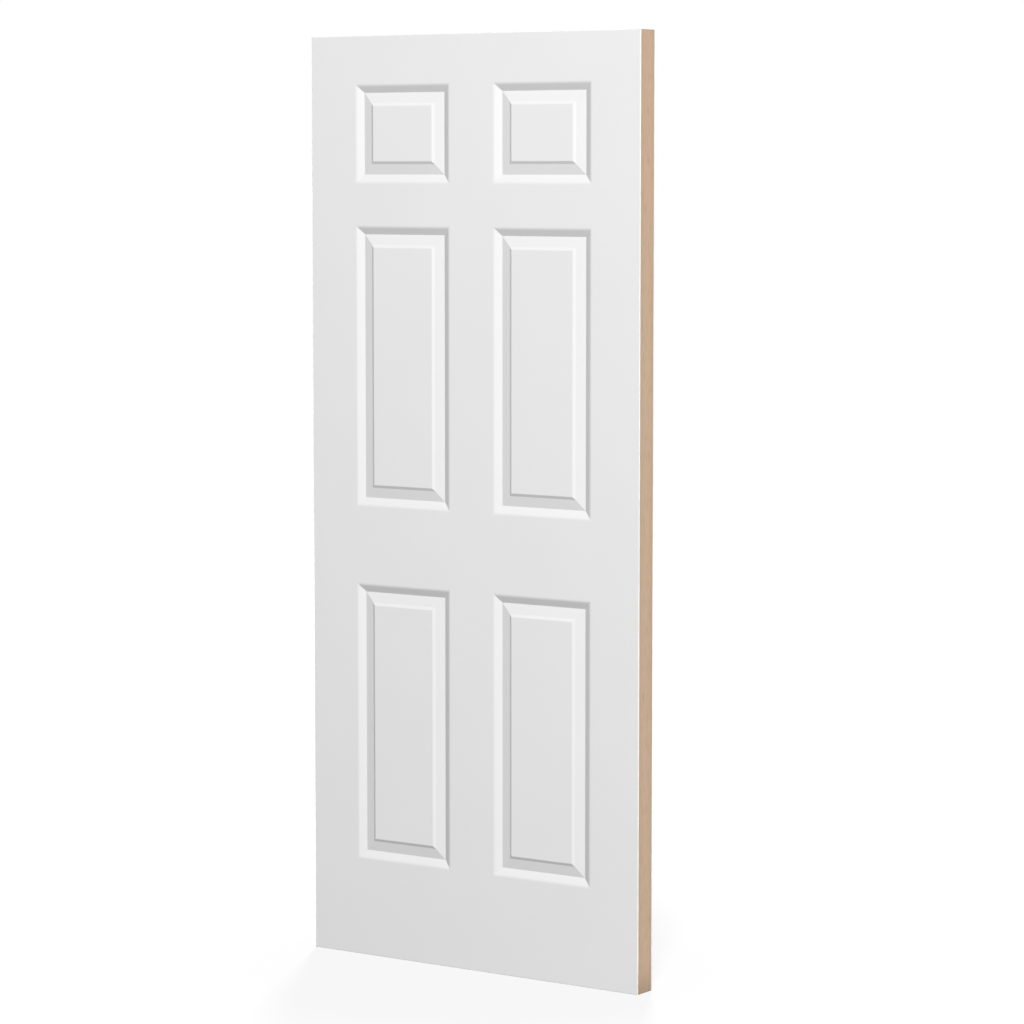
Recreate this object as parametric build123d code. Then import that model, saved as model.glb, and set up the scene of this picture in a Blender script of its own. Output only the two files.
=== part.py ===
from build123d import *
import os

# Six-panel front door leaf, in millimetres.
# X runs across the leaf, +Z is up, and the outdoor face looks along -Y.
# The origin is at the middle of the bottom edge.

# Whole leaf
leaf_width = 838.0
leaf_height = 1981.0
leaf_thickness = 54.0

# Layout of the face: the flat bands around and between the panels
stile_face = 120.0
mullion_face = 116.0
top_rail_face = 104.0
top_panel_height = 205.0
frieze_rail_face = 95.0
lock_rail_face = 172.0
bottom_rail_face = 213.0

# Moulded skin: one even wall that is pressed into six raised panels
skin_wall = 2.5
arris_share = 0.4
land_width = 6.0
sticking_width = 16.0
groove_depth = 8.0
bevel_width = 22.0
shoulder_width = 6.0
shoulder_rise = 3.2
sticking_round = 12.0
bend_round = 1.0

# Timber frame between the skins
lipping_thickness = 10.0
stile_width = 35.0
top_rail_width = 60.0
bottom_rail_width = 95.0
lock_block_height = 500.0
lock_block_setback = 9.0

# Wire staples across the butt joints of the frame
staple_crown = 25.0
staple_leg = 14.0
staple_wire = 1.5
staple_place_shares = (0.3, 0.7)

# Sizes that follow from those above
panel_width = (leaf_width - 2 * stile_face - mullion_face) / 2
panel_x = (mullion_face + panel_width) / 2
flat_bands = top_rail_face + frieze_rail_face + lock_rail_face + bottom_rail_face
tall_panel_height = (leaf_height - flat_bands - top_panel_height) / 2
moulding_width = sticking_width + bevel_width + shoulder_width
core_thickness = leaf_thickness - 2 * skin_wall
outer_bend_round = bend_round + skin_wall
show_rounds = (sticking_round + skin_wall, bend_round, bend_round, outer_bend_round)
hidden_rounds = (sticking_round, outer_bend_round, outer_bend_round, bend_round)
frame_inner_x = leaf_width / 2 - lipping_thickness - stile_width
lock_rail_z = bottom_rail_face + tall_panel_height + lock_rail_face / 2

# The skin is drawn flat, with its face at z = 0, and then stood up on each side of the core
front_plane = Plane((0, -leaf_thickness / 2, 0), x_dir=(1, 0, 0), z_dir=(0, -1, 0))
back_plane = Plane((0, leaf_thickness / 2, 0), x_dir=(-1, 0, 0), z_dir=(0, 1, 0))


def panel_rows():
    """Centre height and height of each row of panels, from the bottom up."""
    bottom_z = bottom_rail_face + tall_panel_height / 2
    middle_z = lock_rail_z + (lock_rail_face + tall_panel_height) / 2
    top_z = leaf_height - top_rail_face - top_panel_height / 2
    return ((bottom_z, tall_panel_height), (middle_z, tall_panel_height), (top_z, top_panel_height))


def panel_places():
    """Centre and height of each of the six panels."""
    return [(side * panel_x, z, height) for z, height in panel_rows() for side in (-1, 1)]


def inside_line(points, wall):
    """The line one wall inside an outline that is drawn from left to right."""
    corners = [Vector(*point) for point in points]
    runs = [(end - start).normalized() for start, end in zip(corners, corners[1:])]
    normals = [Vector(run.Y, -run.X) for run in runs]
    line = [corners[0] + normals[0] * wall]
    for corner, before, after in zip(corners[1:-1], normals, normals[1:]):
        line.append(corner + (before + after) * (wall / (1 + before.dot(after))))
    line.append(corners[-1] + normals[-1] * wall)
    return line


def face_line():
    """Show side of the moulding, from the band inwards: land, sticking, groove, bevel, shoulder, field."""
    bevel_top_x = sticking_width + bevel_width
    return [
        (-land_width, 0),
        (0, 0),
        (sticking_width, -groove_depth),
        (bevel_top_x, -shoulder_rise),
        (moulding_width, 0),
        (moulding_width + land_width, 0),
    ]


def rounded(section, corners, radii):
    """The section with each named corner rounded by its own radius."""
    for corner, radius in zip(corners, radii):
        section = fillet(section.vertices().sort_by_distance(corner)[0], radius)
    return section


def wall_section():
    """Section of the skin through a moulding. A bend is one wall larger on its outer side than on its inner."""
    show_side = face_line()
    hidden_side = inside_line(show_side, skin_wall)
    section = make_face(Polyline(*show_side, *reversed(hidden_side), close=True))
    section = rounded(section, show_side[1:-1], show_rounds)
    return rounded(section, hidden_side[1:-1], hidden_rounds)


def pocket_section():
    """Section of the hollow that a moulding presses into the core, measured from the face."""
    show_side = face_line()
    hidden_side = inside_line(show_side, skin_wall)
    section = make_face(Polyline(show_side[0], *hidden_side, show_side[-1], close=True))
    return rounded(section, hidden_side[1:-1], hidden_rounds)


def around_panel(section, x, y, height):
    """A section carried round the edge of one panel, mitred at the corners: a right half and its mirror."""
    right = panel_width / 2
    top = height / 2
    path = Polyline((0, -top), (right, -top), (right, top), (0, top))
    across = Plane((0, -top, 0), x_dir=(0, 1, 0), z_dir=(1, 0, 0))
    right_half = sweep(across * section, path=path, transition=Transition.RIGHT)
    return Pos(x, y) * (right_half + mirror(right_half, about=Plane.YZ))


def flat_sheet(x, y, width, height):
    """A flat stretch of the skin, centred on a point of the face."""
    return Pos(x, y, -skin_wall / 2) * Box(width, height, skin_wall)


def moulded_skin():
    """One facing: a sheet with six openings, a moulding in each opening, and the raised fields."""
    sheet = flat_sheet(0, leaf_height / 2, leaf_width, leaf_height)
    rim = sheet.faces().sort_by(Axis.Z)[-1].edges()
    sheet = fillet(rim, skin_wall * arris_share)
    section = wall_section()
    inset = 2 * (moulding_width + land_width)
    for x, y, height in panel_places():
        opening_width = panel_width + 2 * land_width
        opening_height = height + 2 * land_width
        sheet -= flat_sheet(x, y, opening_width, opening_height)
        moulding = around_panel(section, x, y, height)
        field = flat_sheet(x, y, panel_width - inset, height - inset)
        sheet += [moulding, field]
    return sheet


def between_skins(x_from, x_to, z_from, z_to):
    """A squared piece that fills the leaf from skin to skin."""
    size = (x_to - x_from, core_thickness, z_to - z_from)
    return Pos((x_from + x_to) / 2, 0, (z_from + z_to) / 2) * Box(*size)


def staple():
    """A wire staple, driven along -Z, with the top of its crown at z = 0."""
    half = staple_crown / 2
    inner_half = half - staple_wire
    outline = Polyline(
        (-half, 0),
        (half, 0),
        (half, -staple_leg),
        (inner_half, -staple_leg),
        (inner_half, -staple_wire),
        (-inner_half, -staple_wire),
        (-inner_half, -staple_leg),
        (-half, -staple_leg),
        close=True,
    )
    return extrude(Plane.XZ * make_face(outline), staple_wire / 2, both=True)


def frame_staples():
    """Staples across each joint of stile and rail, on both sides of the frame, flush with the timber."""
    one = staple()
    bottom_places = [share * bottom_rail_width for share in staple_place_shares]
    top_places = [leaf_height - share * top_rail_width for share in staple_place_shares]
    placed = []
    for plane in (front_plane, back_plane):
        for x in (-frame_inner_x, frame_inner_x):
            for y in bottom_places + top_places:
                placed.append(plane * Pos(x, y, -skin_wall) * one)
    return placed


def foam_core():
    """Foam that fills the leaf inside the frame, pressed hollow behind every moulding."""
    core = between_skins(-frame_inner_x, frame_inner_x, bottom_rail_width, leaf_height - top_rail_width)
    section = pocket_section()
    for plane in (front_plane, back_plane):
        for x, y, height in panel_places():
            core -= plane * around_panel(section, x, y, height)
    return core


def build_leaf():
    """Every piece of the leaf by name."""
    edge_x = leaf_width / 2
    stile_outer_x = edge_x - lipping_thickness
    block_inner_x = edge_x - stile_face + lock_block_setback
    block_from_z = lock_rail_z - lock_block_height / 2
    block_to_z = lock_rail_z + lock_block_height / 2

    skin = moulded_skin()
    staples = frame_staples()
    pieces = {"front_skin": front_plane * skin, "back_skin": back_plane * skin}
    pieces["right_lipping"] = between_skins(stile_outer_x, edge_x, 0, leaf_height)
    pieces["left_lipping"] = between_skins(-edge_x, -stile_outer_x, 0, leaf_height)

    frame = {
        "right_stile": between_skins(frame_inner_x, stile_outer_x, 0, leaf_height),
        "left_stile": between_skins(-stile_outer_x, -frame_inner_x, 0, leaf_height),
        "bottom_rail": between_skins(-frame_inner_x, frame_inner_x, 0, bottom_rail_width),
        "top_rail": between_skins(-frame_inner_x, frame_inner_x, leaf_height - top_rail_width, leaf_height),
    }
    for name, timber in frame.items():
        pieces[name] = timber - staples

    pieces["right_lock_block"] = between_skins(block_inner_x, frame_inner_x, block_from_z, block_to_z)
    pieces["left_lock_block"] = between_skins(-frame_inner_x, -block_inner_x, block_from_z, block_to_z)
    pieces["foam_core"] = foam_core() - [pieces["left_lock_block"], pieces["right_lock_block"]]
    pieces["frame_staples"] = Compound(children=staples)
    return pieces


os.makedirs("parts", exist_ok=True)
for node, piece in build_leaf().items():
    export_step(piece, f"parts/{node}.step")
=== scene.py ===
import math

import bpy
import numpy as np
from bpy.props import FloatProperty, FloatVectorProperty, IntProperty, PointerProperty
from bpy.types import Operator, Panel, PropertyGroup
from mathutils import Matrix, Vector


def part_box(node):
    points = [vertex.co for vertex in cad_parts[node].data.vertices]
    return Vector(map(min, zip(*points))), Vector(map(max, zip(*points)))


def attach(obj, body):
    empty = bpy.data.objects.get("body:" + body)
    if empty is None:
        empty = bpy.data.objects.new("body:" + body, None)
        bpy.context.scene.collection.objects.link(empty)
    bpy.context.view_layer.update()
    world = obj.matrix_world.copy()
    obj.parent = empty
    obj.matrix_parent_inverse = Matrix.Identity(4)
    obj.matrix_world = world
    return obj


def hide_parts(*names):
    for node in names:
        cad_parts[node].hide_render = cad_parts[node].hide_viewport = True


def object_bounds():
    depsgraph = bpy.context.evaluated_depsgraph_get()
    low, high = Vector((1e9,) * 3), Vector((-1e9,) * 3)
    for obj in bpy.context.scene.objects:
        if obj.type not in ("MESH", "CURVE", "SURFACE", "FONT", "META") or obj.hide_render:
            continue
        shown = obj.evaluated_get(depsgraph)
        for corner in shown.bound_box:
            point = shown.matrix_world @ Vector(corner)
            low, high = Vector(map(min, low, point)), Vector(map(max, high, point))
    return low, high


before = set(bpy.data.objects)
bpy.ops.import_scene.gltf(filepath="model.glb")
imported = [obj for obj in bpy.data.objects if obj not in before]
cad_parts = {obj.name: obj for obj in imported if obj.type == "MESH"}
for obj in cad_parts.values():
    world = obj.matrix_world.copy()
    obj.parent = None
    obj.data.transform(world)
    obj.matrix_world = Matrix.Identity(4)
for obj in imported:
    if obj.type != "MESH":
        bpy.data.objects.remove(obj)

bl_info = {
    "name": "Panelled door leaf",
    "version": (1, 0, 0),
    "blender": (4, 5, 0),
    "location": "3D View > Sidebar > Door leaf",
    "description": "Dresses a six-panel front door leaf with moulded white facings and bare timber edges",
    "category": "Add Mesh",
}

# The leaf stands on the floor with its outdoor face towards -Y, in metres.
CAD_LOW, CAD_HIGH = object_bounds()
LEAF_MIDDLE = (CAD_LOW + CAD_HIGH) / 2
LIPPING_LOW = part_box("right_lipping")[0]

# Places closer than the last of these decimals are one place.
PLACE_DECIMALS = 7

WHITE = (1.0, 1.0, 1.0, 1.0)
BLACK = (0.0, 0.0, 0.0, 1.0)
RIGHT_ANGLE = math.radians(90)


def length(name, description, default):
    """A property that holds a length in metres."""
    return FloatProperty(
        name=name, description=description, default=default, unit="LENGTH", subtype="DISTANCE", precision=5
    )


def angle(name, description, degrees):
    """A property that holds an angle, given in degrees."""
    return FloatProperty(
        name=name, description=description, default=math.radians(degrees), unit="ROTATION", subtype="ANGLE"
    )


def power(name, description, default):
    """A property that holds a lamp's power in watts."""
    return FloatProperty(name=name, description=description, default=default, unit="POWER")


def colour(name, description, default):
    """A property that holds a linear colour."""
    return FloatVectorProperty(
        name=name, description=description, default=default, subtype="COLOR", size=3, min=0.0, max=1.0
    )


def place(name, description, default):
    """A property that holds a point in metres."""
    return FloatVectorProperty(
        name=name, description=description, default=default, unit="LENGTH", subtype="XYZ", size=3
    )


class DoorFacingSizes(PropertyGroup):
    """Layout of the face and section of the mouldings."""

    width: length("Width", "Width of the leaf", CAD_HIGH.x - CAD_LOW.x)
    height: length("Height", "Height of the leaf", CAD_HIGH.z - CAD_LOW.z)
    wall: length("Wall", "Thickness of a facing", LIPPING_LOW.y - CAD_LOW.y)
    arris: length("Arris", "Radius of the facing's outer edge", 0.001)
    arris_lines: IntProperty(name="Arris lines", description="Lines in the arris", default=7, min=2)
    stile: length("Stile", "Flat band at each side", 0.120)
    mullion: length("Mullion", "Flat band between the two columns of panels", 0.116)
    top_rail: length("Top rail", "Flat band above the top panels", 0.104)
    top_panel: length("Top panels", "Height of the two top panels", 0.205)
    frieze_rail: length("Frieze rail", "Flat band under the top panels", 0.095)
    lock_rail: length("Lock rail", "Flat band between the tall panels", 0.172)
    bottom_rail: length("Bottom rail", "Flat band under the lower panels", 0.213)
    land: length("Land", "Flat strip that is drawn with a moulding on each side", 0.006)
    sticking: length("Sticking", "Width of the slope from the band into the groove", 0.016)
    groove: length("Groove", "Depth of the groove under the face", 0.008)
    bevel: length("Bevel", "Width of the panel's wide bevel", 0.022)
    shoulder: length("Shoulder", "Width of the steep edge round the raised field", 0.006)
    shoulder_rise: length("Shoulder rise", "Height of the steep edge round the raised field", 0.0032)
    sticking_round: length("Sticking round", "Radius where the band turns into the sticking", 0.0145)
    bend_round: length("Bend round", "Radius in the groove and under the shoulder", 0.001)
    field_round: length("Field round", "Radius at the edge of the raised field", 0.0035)
    bend_step: angle("Bend step", "Largest turn from one line of a bend to the next", 6.0)
    crease: angle("Crease", "Turn above which an edge stays sharp, as at the mitres", 16.0)


class DoorTimberSizes(PropertyGroup):
    """Sizes of the timber at the leaf's edges."""

    ease: length("Eased edge", "Radius of the lippings' edges", 0.0004)
    ease_lines: IntProperty(name="Edge lines", description="Lines in each eased edge", default=4, min=2)
    hardwood_ring: length("Hardwood rings", "Spacing of the growth rings in the lippings", 0.0042)
    softwood_ring: length("Softwood rings", "Spacing of the growth rings in the frame", 0.0031)


class DoorFinishColours(PropertyGroup):
    """Colours of the finishes."""

    white: colour("White facing", "Satin white of the moulded facings", (0.80, 0.80, 0.80))
    hardwood_pale: colour("Pale hardwood", "Early wood of the lippings", (0.54, 0.395, 0.282))
    hardwood_deep: colour("Deep hardwood", "Late wood of the lippings", (0.38, 0.262, 0.172))
    softwood_pale: colour("Pale softwood", "Early wood of the frame", (0.66, 0.49, 0.31))
    softwood_deep: colour("Deep softwood", "Late wood of the frame", (0.44, 0.27, 0.13))
    foam_pale: colour("Pale foam", "Cells of the foam", (0.78, 0.69, 0.44))
    foam_deep: colour("Deep foam", "Cell edges of the foam", (0.66, 0.55, 0.31))
    wire: colour("Wire", "Bright steel of the staples", (0.56, 0.56, 0.57))
    floor: colour("Floor", "Floor as the camera sees it in the lamps' light", (0.11, 0.11, 0.11))
    floor_bounce: colour("Floor bounce", "Floor as it throws light back", (0.02, 0.02, 0.02))
    ambient: colour("Ambient", "Light from all round", (0.012, 0.012, 0.012))


class DoorStageSettings(PropertyGroup):
    """Camera, lamps and floor."""

    eye: place("Camera", "Where the camera stands", (4.4241, -6.2914, 1.6972))
    turn: angle("Turn", "Turn of the camera to the left of +Y", 34.593)
    tilt: angle("Tilt", "Tilt of the camera below the horizon", 5.3388)
    sensor: FloatProperty(name="Sensor", description="Width of the camera's sensor in mm", default=36.0)
    lens: FloatProperty(name="Lens", description="Focal length in mm", default=128.573)
    key: place("Key lamp", "Where the key lamp hangs, to the right of the face", (6.675, -11.51, 7.915))
    key_power: power("Key power", "Power of each key lamp", 2760.0)
    key_size: length("Key size", "Side of each square key lamp", 2.0)
    edge_distance: length("Edge distance", "From the middle of the leaf to each edge lamp", 1.5)
    edge_power: power("Edge power", "Power of each edge lamp", 0.4)
    edge_width: length("Edge width", "Width of each edge lamp, less than the leaf's thickness", 0.04)
    edge_height: length("Edge height", "Height of each edge lamp", 2.4)
    edge_spread: angle("Edge spread", "Opening of an edge lamp's beam, which stays off the faces", 8.0)
    floor_size: length("Floor size", "Side of the floor", 16.0)
    floor_cells: IntProperty(name="Floor cells", description="Cells along the floor's side", default=4, min=1)
    floor_glow: FloatProperty(name="Floor glow", description="White of the floor by the leaf", default=0.86)
    glow_near: length("Glow near", "Distance at which the floor starts to brighten", 0.48)
    glow_far: length("Glow far", "Distance at which the floor is all white", 1.6)


class Socket:
    """A shader socket in an expression. Each operator adds a Math node and stands for its result."""

    def __init__(self, sheet, end):
        self.sheet = sheet
        self.end = end

    def math(self, operation, first, second=0.0):
        return self.sheet.add("ShaderNodeMath", {"operation": operation}, {0: first, 1: second})

    def __add__(self, other):
        return self.math("ADD", self, other)

    def __radd__(self, other):
        return self.math("ADD", other, self)

    def __sub__(self, other):
        return self.math("SUBTRACT", self, other)

    def __rsub__(self, other):
        return self.math("SUBTRACT", other, self)

    def __mul__(self, other):
        return self.math("MULTIPLY", self, other)

    def __rmul__(self, other):
        return self.math("MULTIPLY", other, self)

    def __truediv__(self, other):
        return self.math("DIVIDE", self, other)

    def __pow__(self, other):
        return self.math("POWER", self, other)

    def __or__(self, other):
        return self.math("MAXIMUM", self, other)

    def fraction(self):
        return self.math("FRACT", self)

    def output(self, name):
        return Socket(self.sheet, self.end.node.outputs[name])


class NodeSheet:
    """The node tree of a material or of the world, emptied, with one method that adds any node."""

    def __init__(self, owner):
        owner.use_nodes = True
        self.tree = owner.node_tree
        self.tree.nodes.clear()

    def add(self, kind, settings=None, sockets=None, output=0):
        node = self.tree.nodes.new(kind)
        for key, value in (settings or {}).items():
            setattr(node, key, value)
        for key, value in (sockets or {}).items():
            if isinstance(value, Socket):
                self.tree.links.new(value.end, node.inputs[key])
            else:
                node.inputs[key].default_value = value
        return Socket(self, node.outputs[output] if len(node.outputs) else None)

    def spot(self):
        """The point of the surface, in the object's own coordinates."""
        return self.add("ShaderNodeTexCoord", output="Object")

    def turned(self, point, angles):
        """A point turned about each axis."""
        return self.add("ShaderNodeMapping", None, {"Vector": point, "Rotation": angles})

    def stretched(self, point, scale):
        """A point scaled along each axis."""
        return self.add("ShaderNodeMapping", None, {"Vector": point, "Scale": scale})

    def noise(self, point, scale=1.0, detail=2.0, roughness=0.5):
        """Soft noise from 0 to 1 at a point."""
        sockets = {"Vector": point, "Scale": scale, "Detail": detail, "Roughness": roughness}
        return self.add("ShaderNodeTexNoise", None, sockets)

    def ramp(self, value, low, high):
        """0 below low, 1 above high, and even between them."""
        return self.add("ShaderNodeMapRange", None, {"Value": value, "From Min": low, "From Max": high})

    def blend(self, share, first, second):
        """The first colour where the share is 0, and the second where it is 1."""
        return self.add("ShaderNodeMix", {"data_type": "RGBA"}, {0: share, 6: first, 7: second}, 2)

    def bump(self, height, distance):
        """A surface normal that leans with a height from 0 to 1, over a distance in metres."""
        return self.add("ShaderNodeBump", None, {"Height": height, "Distance": distance})

    def close(self, sockets):
        """The Principled surface with the given sockets, joined to the output."""
        shader = self.add("ShaderNodeBsdfPrincipled", None, sockets)
        self.add("ShaderNodeOutputMaterial", None, {"Surface": shader})


def opaque(rgb, share=1.0):
    """A colour as four numbers, made darker by a share."""
    return (rgb[0] * share, rgb[1] * share, rgb[2] * share, 1.0)


def white_satin(colours):
    """Through-coloured white facing: an even satin with a fine roller stipple and a faint change of gloss."""
    dulled_share = 0.985
    stipple_height = 0.000006
    material = bpy.data.materials.new("white_satin")
    sheet = NodeSheet(material)
    spot = sheet.spot()
    cloud = sheet.noise(spot, scale=5.0, detail=3.0)
    stipple = sheet.noise(spot, scale=620.0)
    patches = sheet.ramp(cloud, low=0.3, high=0.7)
    sheet.close(
        {
            "Base Color": sheet.blend(patches, opaque(colours.white, dulled_share), opaque(colours.white)),
            "Roughness": 0.40 + 0.10 * cloud + 0.04 * stipple,
            "Specular IOR Level": 0.2,
            "Normal": sheet.bump(stipple, stipple_height),
        }
    )
    return material


def timber(name, pale, deep, ring, turn=(0.0, 0.0, 0.0)):
    """Planed timber cut from a solid block: growth rings a few millimetres apart that wander slowly along the
    grain, fine fibres and short dark pores. The grain runs up the piece unless a turn lays it down.

    The rings are the steps of y + lean * x + wander * noise, and each darkens towards its late wood."""
    lean_share = 0.45
    wander = 0.03
    late_power = 2.5
    slow_scale = (9.0, 9.0, 1.1)
    fibre_scale = (1500.0, 1500.0, 16.0)
    pore_scale = (900.0, 900.0, 30.0)
    pore_share = 0.6
    grain_height = 0.00004
    material = bpy.data.materials.new(name)
    sheet = NodeSheet(material)
    grain = sheet.turned(sheet.spot(), turn)
    slow = sheet.noise(sheet.stretched(grain, slow_scale))
    fibre = sheet.noise(sheet.stretched(grain, fibre_scale), detail=3.0, roughness=0.6)
    speck = sheet.noise(sheet.stretched(grain, pore_scale), detail=1.0)
    pores = sheet.ramp(speck, low=0.60, high=0.70)
    across = sheet.add("ShaderNodeSeparateXYZ", None, {"Vector": grain})
    rings = ((across.output("Y") + lean_share * across.output("X") + wander * slow) / ring).fraction()
    depth = 0.12 + 0.34 * rings**late_power + 0.75 * (fibre - 0.35) + 0.08 * (slow - 0.5)
    body = sheet.blend(sheet.ramp(depth, low=0.0, high=1.0), opaque(pale), opaque(deep))
    sheet.close(
        {
            "Base Color": sheet.blend(0.45 * pores, body, opaque(deep, pore_share)),
            "Roughness": 0.58 + 0.14 * fibre + 0.1 * pores,
            "Specular IOR Level": 0.12,
            "Normal": sheet.bump(0.6 * fibre - 0.5 * pores, grain_height),
        }
    )
    return material


def rigid_foam(colours):
    """Sawn rigid foam: round cells under a millimetre across, darker along their edges."""
    cell_scale = 1100.0
    cell_height = 0.0003
    material = bpy.data.materials.new("rigid_foam")
    sheet = NodeSheet(material)
    cells = sheet.add("ShaderNodeTexVoronoi", None, {"Vector": sheet.spot(), "Scale": cell_scale})
    edges = sheet.ramp(cells, low=0.1, high=0.7)
    sheet.close(
        {
            "Base Color": sheet.blend(edges, opaque(colours.foam_pale), opaque(colours.foam_deep)),
            "Roughness": 0.82 + 0.1 * edges,
            "Normal": sheet.bump(1 - cells, cell_height),
        }
    )
    return material


def bright_wire(colours):
    """Drawn steel wire: fine scratches along the wire and a slightly uneven gloss."""
    dulled_share = 0.85
    scratch_scale = (300.0, 4000.0, 4000.0)
    scratch_height = 0.00001
    material = bpy.data.materials.new("bright_wire")
    sheet = NodeSheet(material)
    scratch = sheet.noise(sheet.stretched(sheet.spot(), scratch_scale))
    sheet.close(
        {
            "Base Color": sheet.blend(scratch, opaque(colours.wire, dulled_share), opaque(colours.wire)),
            "Metallic": 1.0,
            "Roughness": 0.28 + 0.16 * scratch,
            "Normal": sheet.bump(scratch, scratch_height),
        }
    )
    return material


def background_seen(sheet):
    """1 for a ray that shows the background itself, straight, mirrored or through glass, and 0 for others."""
    path = sheet.add("ShaderNodeLightPath", output="Is Camera Ray")
    return path | path.output("Is Glossy Ray") | path.output("Is Transmission Ray")


def pale_floor(colours, settings):
    """A plain floor that the camera sees as white and that throws little light back. Its own glow is a little
    less than white beside the leaf, where the lamps make up the rest and so leave the leaf's shadow."""
    material = bpy.data.materials.new("pale_floor")
    sheet = NodeSheet(material)
    shown = background_seen(sheet)
    distance = sheet.add("ShaderNodeVectorMath", {"operation": "LENGTH"}, {0: sheet.spot()}, "Value")
    far = sheet.ramp(distance, settings.glow_near, settings.glow_far)
    glow = sheet.blend(far, opaque(WHITE, settings.floor_glow), WHITE)
    sheet.close(
        {
            "Base Color": sheet.blend(shown, opaque(colours.floor_bounce), opaque(colours.floor)),
            "Roughness": 1.0,
            "Specular IOR Level": 0.0,
            "Emission Color": sheet.blend(shown, BLACK, glow),
            "Emission Strength": 1.0,
        }
    )
    return material


def rounded_line(corners, radii, step):
    """A line from corner to corner, given as complex numbers, with a round bend at each inner corner.

    A bend of radius r that turns by t starts at r * tan(t / 2) before its corner, and its points are the
    start turned about the bend's centre by equal parts of t. One more point stands close to each end of a
    bend, which keeps the flat runs flat under smooth shading."""
    margin_share = 0.2
    runs = np.diff(corners)
    headings = runs / np.abs(runs)
    turns = np.angle(headings[1:] / headings[:-1])
    reaches = radii * np.tan(np.abs(turns) / 2)
    margin = margin_share * np.min(np.abs(runs) - np.append(reaches, 0) - np.append(0, reaches))
    pieces = [corners[:1]]
    for corner, heading, after, turn, reach, radius in zip(
        corners[1:-1], headings, headings[1:], turns, reaches, radii
    ):
        start = corner - heading * reach
        centre = start + 1j * np.sign(turn) * heading * radius
        parts = np.linspace(0.0, turn, 1 + max(2, math.ceil(abs(turn) / step)))
        bend = centre + (start - centre) * np.exp(1j * parts)
        pieces += [[start - heading * margin], bend, [bend[-1] + after * margin]]
    return np.concatenate(pieces + [corners[-1:]])


def wall_line(corners, wall):
    """The line one wall behind a line of corners: each corner moves along the sum of its two normals."""
    runs = np.diff(corners)
    normals = 1j * runs / np.abs(runs)
    before = np.append(normals[:1], normals)
    after = np.append(normals, normals[-1:])
    return corners + wall * (before + after) / (1 + np.real(before * np.conj(after)))


def moulding_lines(sizes):
    """Show side and hidden side of a moulding, from the band inwards, as distance + 1j * depth under the
    face: land, sticking down into the groove, wide bevel up, steep shoulder up to the raised field, land."""
    bevel_top = sizes.sticking + sizes.bevel
    field = bevel_top + sizes.shoulder
    corners = np.array(
        [
            -sizes.land,
            0.0,
            sizes.sticking + 1j * sizes.groove,
            bevel_top + 1j * sizes.shoulder_rise,
            field,
            field + sizes.land,
        ]
    )
    show = np.array([sizes.sticking_round, sizes.bend_round, sizes.bend_round, sizes.field_round])
    hidden = show + sizes.wall * np.array([-1, 1, 1, -1])
    show_line = rounded_line(corners, show, sizes.bend_step)
    hidden_line = rounded_line(wall_line(corners, sizes.wall), hidden, sizes.bend_step)
    return show_line, hidden_line


def panel_openings(sizes):
    """Left, right, bottom and top of each of the six panels, from the facing's lower left corner."""
    panel = (sizes.width - 2 * sizes.stile - sizes.mullion) / 2
    bands = sizes.top_rail + sizes.frieze_rail + sizes.lock_rail + sizes.bottom_rail
    tall = (sizes.height - bands - sizes.top_panel) / 2
    lefts = np.array([sizes.stile, sizes.stile + panel + sizes.mullion])
    bottoms = np.array(
        [
            sizes.bottom_rail,
            sizes.bottom_rail + tall + sizes.lock_rail,
            sizes.height - sizes.top_rail - sizes.top_panel,
        ]
    )
    heights = np.array([tall, tall, sizes.top_panel])
    left, bottom = np.meshgrid(lefts, bottoms)
    height = np.meshgrid(lefts, heights)[1]
    return np.stack([left, left + panel, bottom, bottom + height], axis=-1).reshape(-1, 4)


def grid_lines(span, edges, moulding, rim):
    """Places of the grid's lines along one side: the rim's lines at both ends, and every point of the
    moulding inwards from both sides of each opening."""
    starts = (edges[:, :1] + moulding).ravel()
    ends = (edges[:, 1:] - moulding).ravel()
    return np.unique(np.round(np.concatenate([rim, span - rim, starts, ends]), PLACE_DECIMALS))


def facing_grid(sizes, openings, moulding):
    """Places across and up of the grid's points. The rim has the lines of its quarter round, and one more as
    far in again, which keeps the flats flat under smooth shading."""
    turns = np.linspace(0, RIGHT_ANGLE, sizes.arris_lines)
    rim = sizes.arris * np.append(1 - np.cos(turns), 2)
    x_lines = grid_lines(sizes.width, openings[:, :2], moulding, rim)
    z_lines = grid_lines(sizes.height, openings[:, 2:], moulding, rim)
    return np.meshgrid(x_lines, z_lines, indexing="ij")


def facing_depths(sizes, openings, show, hidden, x, z):
    """Depth of the show side and of the hidden side under the face at each point.

    It is the moulding's depth at the point's distance inside the nearest side of its panel, so the mouldings
    meet in mitres. The show side has the rim's quarter round too: r - sqrt(r * r - (r - s) * (r - s)) at a
    distance s from the leaf's edge."""
    edge = np.minimum(np.minimum(x, sizes.width - x), np.minimum(z, sizes.height - z))
    gap = np.maximum(sizes.arris - edge, 0.0)
    show_depth = sizes.arris - np.sqrt(np.maximum(sizes.arris**2 - gap**2, 0.0))
    hidden_depth = np.full_like(x, sizes.wall)
    for left, right, bottom, top in openings:
        inside = np.minimum(np.minimum(x - left, right - x), np.minimum(z - bottom, top - z))
        show_depth += np.interp(inside, show.real, show.imag, left=0.0, right=0.0)
        hidden_depth += np.interp(inside, hidden.real, hidden.imag - sizes.wall, left=0.0, right=0.0)
    return show_depth, hidden_depth


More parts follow.
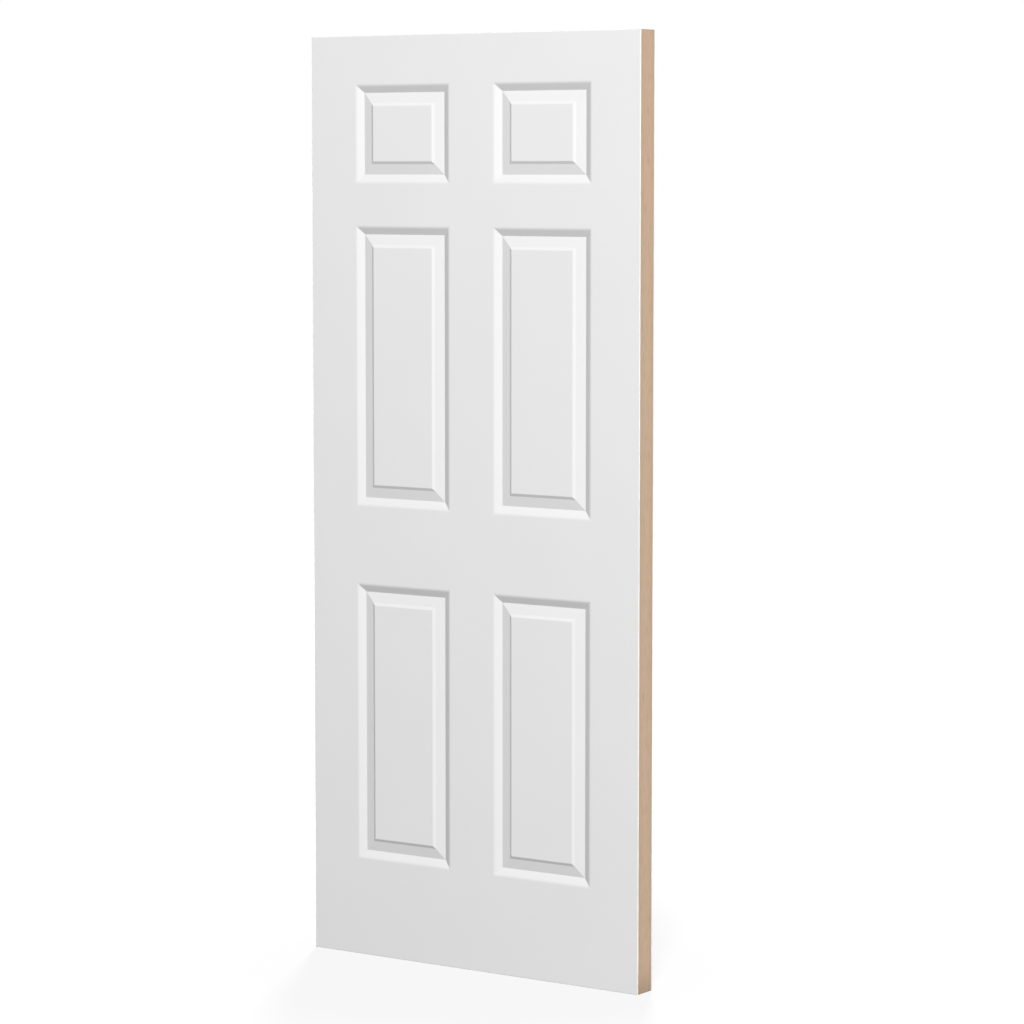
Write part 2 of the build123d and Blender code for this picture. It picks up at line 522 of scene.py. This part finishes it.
def rising_cells(sizes, openings, x, z):
    """Whether each cell is cut along its rising diagonal. The cut points at the middle of the cell's panel,
    or of the leaf between the panels, so that every mitre is an edge."""
    cell_x = (x[:-1, :-1] + x[1:, 1:]) / 2
    cell_z = (z[:-1, :-1] + z[1:, 1:]) / 2
    rising = (cell_x - sizes.width / 2) * (cell_z - sizes.height / 2) > 0
    for left, right, bottom, top in openings:
        near = (cell_x > left - sizes.land) & (cell_x < right + sizes.land)
        near &= (cell_z > bottom - sizes.land) & (cell_z < top + sizes.land)
        in_panel = (cell_x - (left + right) / 2) * (cell_z - (bottom + top) / 2) > 0
        rising = np.where(near, in_panel, rising)
    return rising


def grid_triangles(index, rising):
    """Two triangles for each cell of a grid of vertex numbers, cut along its rising or falling diagonal."""
    corners = (index[:-1, :-1], index[1:, :-1], index[1:, 1:], index[:-1, 1:])
    a, b, c, d = (corner.ravel() for corner in corners)
    cut = rising.ravel()
    first = np.stack([a, b, np.where(cut, c, d)], axis=1)
    second = np.stack([np.where(cut, a, b), c, d], axis=1)
    return np.concatenate([first, second])


def facing_shell(sizes, front):
    """One moulded facing as a closed shell: a grid for the show side, a grid one wall behind it for the
    hidden side, and a strip that closes the rim. The back facing is the front one after half a turn."""
    show, hidden = moulding_lines(sizes)
    openings = panel_openings(sizes)
    x, z = facing_grid(sizes, openings, show.real)
    show_depth, hidden_depth = facing_depths(sizes, openings, show, hidden, x, z)

    face_y = CAD_LOW.y if front else -CAD_HIGH.y
    across = x + (CAD_LOW.x if front else -CAD_HIGH.x)
    shows = np.stack([across, face_y + show_depth, z + CAD_LOW.z], axis=-1).reshape(-1, 3)
    hides = np.stack([across, face_y + hidden_depth, z + CAD_LOW.z], axis=-1).reshape(-1, 3)
    points = np.concatenate([shows, hides])
    if not front:
        points *= (-1, -1, 1)

    index = np.arange(x.size).reshape(x.shape)
    loop = np.concatenate([index[:-1, 0], index[-1, :-1], index[:0:-1, -1], index[0, :0:-1]])
    ahead = np.roll(loop, -1)
    strip = np.stack([loop, loop + x.size, ahead + x.size, ahead], axis=1)
    shown = grid_triangles(index, rising_cells(sizes, openings, x, z))
    covered = shown[:, ::-1] + x.size
    return points, shown.tolist() + covered.tolist() + strip.tolist()


def eased_bar(low, high, ease, lines):
    """An upright squared bar with eased edges.

    A ring of four quarter rounds, each standing at one corner, is carried up the bar. At both ends the ring
    draws in by ease * (1 - sin t) while it climbs by ease * (1 - cos t), and a flat cap closes it. The normal
    leans by t from the end's own direction to the bearing of the round, so that the flats are shaded flat."""
    turn = np.linspace(0, RIGHT_ANGLE, lines)
    bearing = (turn + RIGHT_ANGLE * np.arange(4)[:, None]).ravel()
    side_x = np.repeat([1, -1, -1, 1], lines)
    side_y = np.repeat([1, 1, -1, -1], lines)
    draw_in = ease * (1 - np.sin(turn))
    climb = ease * (1 - np.cos(turn))
    inset = np.concatenate([draw_in, draw_in[::-1]])[:, None]
    z = np.concatenate([low.z + climb, high.z - climb[::-1]])[:, None]
    half_x = (high.x - low.x) / 2 - ease
    half_y = (high.y - low.y) / 2 - ease
    x = (high.x + low.x) / 2 + side_x * (half_x - inset) + ease * np.cos(bearing)
    y = (high.y + low.y) / 2 + side_y * (half_y - inset) + ease * np.sin(bearing)
    points = np.stack([x, y, z + np.zeros_like(x)], axis=-1).reshape(-1, 3)

    out = np.concatenate([np.sin(turn), np.sin(turn[::-1])])[:, None]
    up = np.concatenate([-np.cos(turn), np.cos(turn[::-1])])[:, None]
    normals = np.stack([out * np.cos(bearing), out * np.sin(bearing), up + np.zeros_like(x)], axis=-1)

    index = np.arange(x.size).reshape(x.shape)
    ahead = np.roll(index, -1, axis=1)
    sides = np.stack([index[:-1], ahead[:-1], ahead[1:], index[1:]], axis=-1).reshape(-1, 4)
    return points, sides.tolist() + [index[0, ::-1].tolist(), index[-1].tolist()], normals.reshape(-1, 3)


def add_piece(name, points, faces, material):
    """A smooth mesh object at the origin."""
    mesh = bpy.data.meshes.new(name)
    mesh.from_pydata(points.tolist(), [], faces)
    mesh.polygons.foreach_set("use_smooth", np.ones(len(mesh.polygons), dtype=bool))
    mesh.materials.append(material)
    piece = bpy.data.objects.new(name, mesh)
    bpy.context.scene.collection.objects.link(piece)
    return piece


def stand_in(piece, node):
    """Puts a piece in the place of a CAD node."""
    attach(piece, "root")
    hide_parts(node)


def refinish(node, material):
    """Gives a CAD node a better material."""
    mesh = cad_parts[node].data
    mesh.materials.clear()
    mesh.materials.append(material)


class DOOR_OT_facings(Operator):
    """Makes the two moulded white facings"""

    bl_idname = "door.make_facings"
    bl_label = "Facings"

    def execute(self, context):
        sizes = context.scene.door_facing
        material = white_satin(context.scene.door_finish)
        for side in ("front", "back"):
            points, faces = facing_shell(sizes, side == "front")
            piece = add_piece(f"{side}_facing", points, faces, material)
            piece.data.set_sharp_from_angle(angle=sizes.crease)
            stand_in(piece, f"{side}_skin")
        return {"FINISHED"}


class DOOR_OT_lippings(Operator):
    """Makes the two hardwood lippings with eased edges"""

    bl_idname = "door.make_lippings"
    bl_label = "Lippings"

    def execute(self, context):
        sizes = context.scene.door_timber
        colours = context.scene.door_finish
        material = timber("edge_hardwood", colours.hardwood_pale, colours.hardwood_deep, sizes.hardwood_ring)
        for side in ("left", "right"):
            low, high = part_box(f"{side}_lipping")
            points, faces, normals = eased_bar(low, high, sizes.ease, sizes.ease_lines)
            piece = add_piece(f"{side}_edge_strip", points, faces, material)
            piece.data.normals_split_custom_set_from_vertices(normals.tolist())
            stand_in(piece, f"{side}_lipping")
        return {"FINISHED"}


class DOOR_OT_frame_timbers(Operator):
    """Gives the stiles, rails and lock blocks their sawn softwood"""

    bl_idname = "door.finish_frame"
    bl_label = "Frame timbers"

    def execute(self, context):
        sizes = context.scene.door_timber
        colours = context.scene.door_finish
        pale, deep, ring = colours.softwood_pale, colours.softwood_deep, sizes.softwood_ring
        upright = timber("upright_softwood", pale, deep, ring)
        level = timber("level_softwood", pale, deep, ring, (0.0, RIGHT_ANGLE, 0.0))
        for node in ("left_stile", "right_stile", "left_lock_block", "right_lock_block"):
            refinish(node, upright)
        for node in ("top_rail", "bottom_rail"):
            refinish(node, level)
        return {"FINISHED"}


class DOOR_OT_core(Operator):
    """Gives the foam core and the staples their finish"""

    bl_idname = "door.finish_core"
    bl_label = "Core and staples"

    def execute(self, context):
        colours = context.scene.door_finish
        refinish("foam_core", rigid_foam(colours))
        refinish("frame_staples", bright_wire(colours))
        return {"FINISHED"}


class DOOR_OT_stage(Operator):
    """Sets the floor, the lamps and the camera"""

    bl_idname = "door.set_stage"
    bl_label = "Stage"

    def execute(self, context):
        scene = context.scene
        settings = scene.door_stage
        colours = scene.door_finish
        self.lay_floor(settings, colours)
        self.light_world(scene, colours)
        square = (settings.key_size, settings.key_size)
        upright = (settings.edge_width, settings.edge_height)
        for name, signs in (("front", Vector((1, 1, 1))), ("back", Vector((-1, -1, 1)))):
            key = settings.key * signs
            edge = LEAF_MIDDLE + Vector((settings.edge_distance, 0, 0)) * signs
            self.hang_lamp(f"{name}_key_lamp", key, settings.key_power, square, 2 * RIGHT_ANGLE)
            self.hang_lamp(f"{name}_edge_lamp", edge, settings.edge_power, upright, settings.edge_spread)
        self.set_camera(scene, settings)
        scene.view_settings.view_transform = "Standard"
        return {"FINISHED"}

    def lay_floor(self, settings, colours):
        """A flat square grid of cells around the leaf's foot."""
        half = settings.floor_size / 2
        cells = settings.floor_cells
        line = np.linspace(-half, half, cells + 1)
        x, y = np.meshgrid(line, line, indexing="ij")
        points = np.stack([x, y, np.full_like(x, CAD_LOW.z)], axis=-1).reshape(-1, 3)
        faces = grid_triangles(np.arange(x.size).reshape(x.shape), np.ones((cells, cells), dtype=bool))
        floor = add_piece("floor", points, faces.tolist(), pale_floor(colours, settings))

    def light_world(self, scene, colours):
        """Even light from all round, which the camera sees as white."""
        world = bpy.data.worlds.new("studio")
        scene.world = world
        sheet = NodeSheet(world)
        light = sheet.blend(background_seen(sheet), opaque(colours.ambient), WHITE)
        glow = sheet.add("ShaderNodeBackground", None, {"Color": light, "Strength": 1.0})
        sheet.add("ShaderNodeOutputWorld", None, {"Surface": glow})

    def hang_lamp(self, name, spot, watts, size, spread):
        """A lamp that looks at the middle of the leaf and stays out of the picture. Its light isn't passed on
        from wall to wall, so the grooves keep the depth of shade that the photograph shows."""
        lamp = bpy.data.lights.new(name, "AREA")
        lamp.shape = "RECTANGLE"
        lamp.size, lamp.size_y = size
        lamp.spread = spread
        lamp.energy = watts
        lamp.cycles.max_bounces = 0
        holder = bpy.data.objects.new(name, lamp)
        holder.location = spot
        holder.rotation_euler = (LEAF_MIDDLE - holder.location).to_track_quat("-Z", "Y").to_euler()
        holder.visible_camera = False
        bpy.context.scene.collection.objects.link(holder)

    def set_camera(self, scene, settings):
        """A camera at the photograph's viewing angle."""
        camera = bpy.data.cameras.new("camera")
        camera.sensor_width = settings.sensor
        camera.lens = settings.lens
        holder = bpy.data.objects.new("camera", camera)
        holder.location = settings.eye
        holder.rotation_euler = (RIGHT_ANGLE - settings.tilt, 0.0, settings.turn)
        scene.collection.objects.link(holder)
        scene.camera = holder


class DOOR_PT_leaf(Panel):
    """Lists the pieces of the leaf and their settings"""

    bl_idname = "DOOR_PT_leaf"
    bl_label = "Door leaf"
    bl_space_type = "VIEW_3D"
    bl_region_type = "UI"
    bl_category = "Door leaf"

    def draw(self, context):
        for operator in OPERATORS:
            self.layout.operator(operator.bl_idname)
        for group in SETTINGS:
            box = self.layout.box()
            values = getattr(context.scene, group)
            for key in values.bl_rna.properties.keys():
                if key not in ("rna_type", "name"):
                    box.prop(values, key)


SETTINGS = {
    "door_facing": DoorFacingSizes,
    "door_timber": DoorTimberSizes,
    "door_finish": DoorFinishColours,
    "door_stage": DoorStageSettings,
}
OPERATORS = (DOOR_OT_facings, DOOR_OT_lippings, DOOR_OT_frame_timbers, DOOR_OT_core, DOOR_OT_stage)
CLASSES = (*SETTINGS.values(), *OPERATORS, DOOR_PT_leaf)


def register():
    """Adds the classes and their settings to Blender."""
    for item in CLASSES:
        bpy.utils.register_class(item)
    for name, group in SETTINGS.items():
        setattr(bpy.types.Scene, name, PointerProperty(type=group))


def unregister():
    """Takes the classes and their settings out again."""
    for name in SETTINGS:
        delattr(bpy.types.Scene, name)
    for item in reversed(CLASSES):
        bpy.utils.unregister_class(item)


def main():
    """Dresses the leaf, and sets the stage."""
    register()
    bpy.ops.door.make_facings()
    bpy.ops.door.make_lippings()
    bpy.ops.door.finish_frame()
    bpy.ops.door.finish_core()
    bpy.ops.door.set_stage()


if __name__ == "__main__":
    main()
